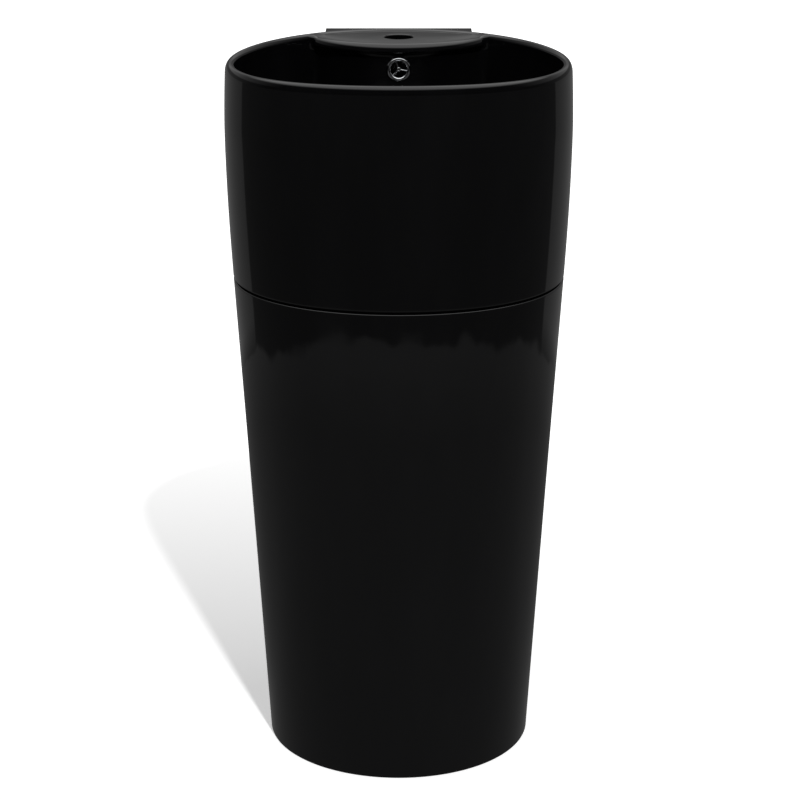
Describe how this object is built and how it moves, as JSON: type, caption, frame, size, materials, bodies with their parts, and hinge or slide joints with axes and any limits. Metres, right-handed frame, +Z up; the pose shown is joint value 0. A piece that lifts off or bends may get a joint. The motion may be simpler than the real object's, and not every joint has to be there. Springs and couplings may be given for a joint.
{
  "type": "pedestal sink",
  "caption": "Black ceramic pedestal wash basin with tap deck, overflow, click plug and bottle trap behind the column.",
  "frame": {"origin": "on the floor under the middle of the sink's overall box", "axes": "+Z up, -Y towards the user, +Y towards the wall; the wall plane is at Y = +0.195"},
  "size_m": [0.4044, 0.3897, 0.85],
  "materials": {
    "ceramic": "high gloss black glaze",
    "chrome": "polished",
    "brass": "turned",
    "rubber": "matt",
    "washer_plastic": "satin",
    "spring_steel": "drawn wire"
  },
  "bodies": {
    "sink": {"basin": "ceramic", "pedestal": "ceramic", "seat_gasket": "rubber", "overflow_ring": "chrome", "overflow_seal": "rubber", "waste_body": "chrome", "flange_seal": "rubber", "click_cartridge": "brass", "cartridge_spring": "spring_steel", "lower_seal": "rubber", "backnut_washer": "washer_plastic", "backnut": "brass", "trap_inlet_nut": "chrome", "trap_inlet_seal": "rubber", "trap_inlet_tube": "chrome", "trap_body": "chrome", "trap_body_nut": "chrome", "trap_body_seal": "rubber", "trap_cup": "chrome", "trap_cup_seal": "rubber", "outlet_nut": "chrome", "outlet_seal": "rubber", "outlet_pipe": "chrome", "wall_rosette": "chrome"},
    "plug": {"plug_cap": "chrome", "plug_seal": "rubber", "plug_stem": "spring_steel"}
  },
  "joints": [
    {"name": "plug_slide", "type": "slide", "parent": "sink", "child": "plug", "axis": [0, 0, 1], "range_m": [-0.008, 0], "deforming": ["cartridge_spring"]}
  ]
}
